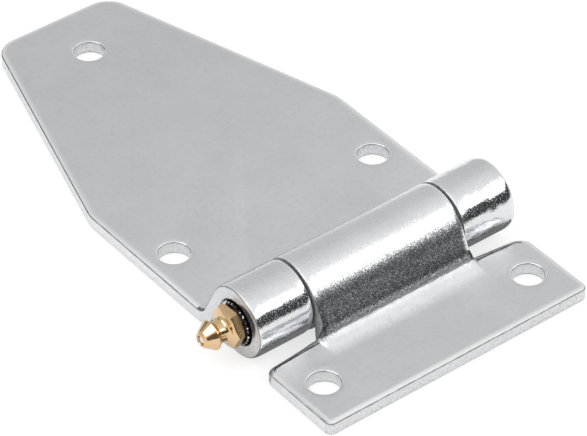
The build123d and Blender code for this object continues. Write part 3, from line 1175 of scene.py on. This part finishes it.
FEED_RADIUS = 0.75
CHAMBER_START = 1.0           # the ball's chamber
CHAMBER_END = 6.54
CHAMBER_RADIUS = 1.37
MOUTH_RADIUS = 0.95
MOUTH_START = 7.10
MOUTH_END = 7.5
MOUTH_LIP = 7.7               # the mouth flares to here
MOUTH_LIP_RADIUS = 1.10
TOOL_END = 8.0
NIPPLE_SMOOTHING = math.radians(22)


def spin_outline(name, points):
    """Turns an outline of (height, radius) points round the pin's axis."""
    data = bpy.data.curves.new(name, "CURVE")
    data.dimensions = "3D"
    draw_outline(data, [(NIPPLE_SEAT_X - height, PIN_Y + radius, PIN_Z) for height, radius in points])
    turned = curve_to_mesh(name, data)
    bpy.ops.object.mode_set(mode="EDIT")
    bpy.ops.mesh.select_all(action="SELECT")
    bpy.ops.mesh.spin(steps=NIPPLE_STEPS, angle=math.tau, center=(0, PIN_Y, PIN_Z), axis=(1, 0, 0))
    bpy.ops.mesh.select_all(action="SELECT")
    bpy.ops.mesh.remove_doubles(threshold=MERGE_NIPPLE)
    bpy.ops.mesh.dissolve_degenerate(threshold=MERGE_NIPPLE)
    bpy.ops.mesh.select_all(action="SELECT")
    bpy.ops.mesh.normals_make_consistent(inside=False)
    bpy.ops.object.mode_set(mode="OBJECT")
    return turned


def combine(piece, other, operation):
    """Joins, cuts or intersects a piece with another, which is used up."""
    change = piece.modifiers.new("combine", "BOOLEAN")
    change.operation = operation
    change.solver = "EXACT"
    change.object = other
    select_only(piece)
    bpy.ops.object.modifier_apply(modifier=change.name)
    bpy.data.objects.remove(other)


def hexagon_cone():
    """The shape that turns a hexagon's back and front corners away."""
    return spin_outline("hexagon_cone", (
        (-OVERSHOOT, 0.0),
        (-OVERSHOOT, 2 * HEX_CORNER),
        (COLLAR_HEIGHT - HEX_BACK_START, 2 * HEX_CORNER),
        (COLLAR_HEIGHT - HEX_BACK_NEAR, HEX_CORNER - HEX_BACK_INSET),
        (COLLAR_HEIGHT + HEX_BACK_FAR, HEX_CORNER),
        (HEX_SHOULDER, HEX_CORNER),
        (SHOULDER_HEIGHT, SHOULDER_RADIUS_AT_NECK),
        (SHOULDER_HEIGHT + OVERSHOOT, SHOULDER_RADIUS_AT_NECK - OVERSHOOT),
        (SHOULDER_HEIGHT + OVERSHOOT, 0.0),
    ))


def nipple_hexagon():
    """A hexagon bar end, its front corners turned away by a cone."""
    length = SHOULDER_HEIGHT - COLLAR_HEIGHT
    bpy.ops.mesh.primitive_cylinder_add(vertices=6, radius=HEX_CORNER, depth=length)
    hexagon = bpy.context.object
    middle = Vector((NIPPLE_SEAT_X - COLLAR_HEIGHT - length / 2, PIN_Y, PIN_Z))
    lay = Matrix.Rotation(-HEX_TURN, 4, "X") @ Matrix.Rotation(math.pi / 2, 4, "Y")
    hexagon.data.transform(Matrix.Translation(middle) @ lay)
    combine(hexagon, hexagon_cone(), "INTERSECT")
    soften = hexagon.modifiers.new("soften", "BEVEL")
    soften.width = HEX_SOFTENING
    soften.segments = 2
    soften.angle_limit = HEX_SOFTENING_ANGLE
    bpy.ops.object.modifier_apply(modifier=soften.name)
    return hexagon


def thread_corners():
    """Half sections of the thread's ridges, as (height, radius, radius of rounding)."""
    corners = []
    for i in range(int(THREAD_LENGTH / THREAD_PITCH)):
        start = -THREAD_LENGTH + i * THREAD_PITCH
        corners += [
            (start + THREAD_FLAT, THREAD_ROOT, 0),
            (start + THREAD_PITCH / 2, THREAD_RADIUS, 0),
            (start + THREAD_PITCH - THREAD_FLAT, THREAD_ROOT, 0),
        ]
    return corners


def turned_body():
    """The thread, the collar, the neck and the head, as the lathe cuts them."""
    return spin_outline("nipple_brass_body", rounded_outline([
        (-THREAD_LENGTH, 0.0, 0),
        (-THREAD_LENGTH, THREAD_ROOT, 0),
        *thread_corners(),
        (-THREAD_RELIEF, THREAD_ROOT, 0),
        (0.0, THREAD_ROOT, 0),
        (0.0, COLLAR_RADIUS, 0),
        (COLLAR_HEIGHT, COLLAR_RADIUS, 0),
        (COLLAR_HEIGHT, COLLAR_TO_BODY, 0),
        (SHOULDER_HEIGHT - SHOULDER_BODY_BACK, SHOULDER_RADIUS_AT_NECK - SHOULDER_BODY_INSET, 0),
        (SHOULDER_HEIGHT, SHOULDER_RADIUS_AT_NECK, 0),
        (NECK_START, NECK_RADIUS, NECK_BLEND),
        (NECK_END, NECK_RADIUS, HEAD_BLEND),
        (HEAD_RIM_START, HEAD_RADIUS, HEAD_RIM_ROUND),
        (HEAD_RIM_END, HEAD_RADIUS, HEAD_RIM_ROUND),
        (CONE_END, CONE_END_RADIUS, CONE_END_ROUND),
        (TIP, TIP_RADIUS, TIP_ROUND),
        (TIP, 0.0, 0),
    ]))


def grease_way():
    """The hole through the nipple: the feed, the ball's chamber, its seat and the mouth."""
    return spin_outline("grease_way", (
        (-THREAD_LENGTH - OVERSHOOT, 0.0),
        (-THREAD_LENGTH - OVERSHOOT, FEED_RADIUS),
        (CHAMBER_START, FEED_RADIUS),
        (CHAMBER_START, CHAMBER_RADIUS),
        (CHAMBER_END, CHAMBER_RADIUS),
        (MOUTH_START, MOUTH_RADIUS),
        (MOUTH_END, MOUTH_RADIUS),
        (MOUTH_LIP, MOUTH_LIP_RADIUS),
        (TOOL_END, MOUTH_LIP_RADIUS),
        (TOOL_END, 0.0),
    ))


def nipple():
    brass = turned_body()
    combine(brass, nipple_hexagon(), "UNION")
    combine(brass, grease_way(), "DIFFERENCE")
    bpy.ops.object.mode_set(mode="EDIT")
    bpy.ops.mesh.select_all(action="SELECT")
    bpy.ops.mesh.remove_doubles(threshold=MERGE_NIPPLE)
    bpy.ops.object.mode_set(mode="OBJECT")
    brass.data.transform(Matrix.Scale(MM, 4))
    bpy.ops.object.shade_smooth_by_angle(angle=NIPPLE_SMOOTHING)
    even_shading(brass, True)
    return brass


# ---------------------------------------------------------------- the scene
bpy.context.scene.view_settings.view_transform = "Standard"
add_studio()
strap = StrapLeaf().made("strap_leaf_sheet")
strap.data.materials.append(zinc_plate("zinc_strap", **STRAP_PLATE))
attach(strap, "strap")
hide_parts("strap_leaf")
short = ShortLeaf().made("short_leaf_sheet")
short.data.materials.append(zinc_plate("zinc_short", **SHORT_PLATE))
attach(short, "fixed_leaf")
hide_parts("short_leaf")
body = nipple()
body.data.materials.append(turned_brass("nipple_brass"))
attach(body, "strap")
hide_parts("nipple_body")
dress("hinge_pin", pin_steel("pin_steel"))
dress("nipple_ball", polished_steel("ball_steel", BALL_GREY, BALL_ROUGHNESS))
dress("nipple_spring", polished_steel("spring_steel", SPRING_GREY, SPRING_ROUGHNESS))
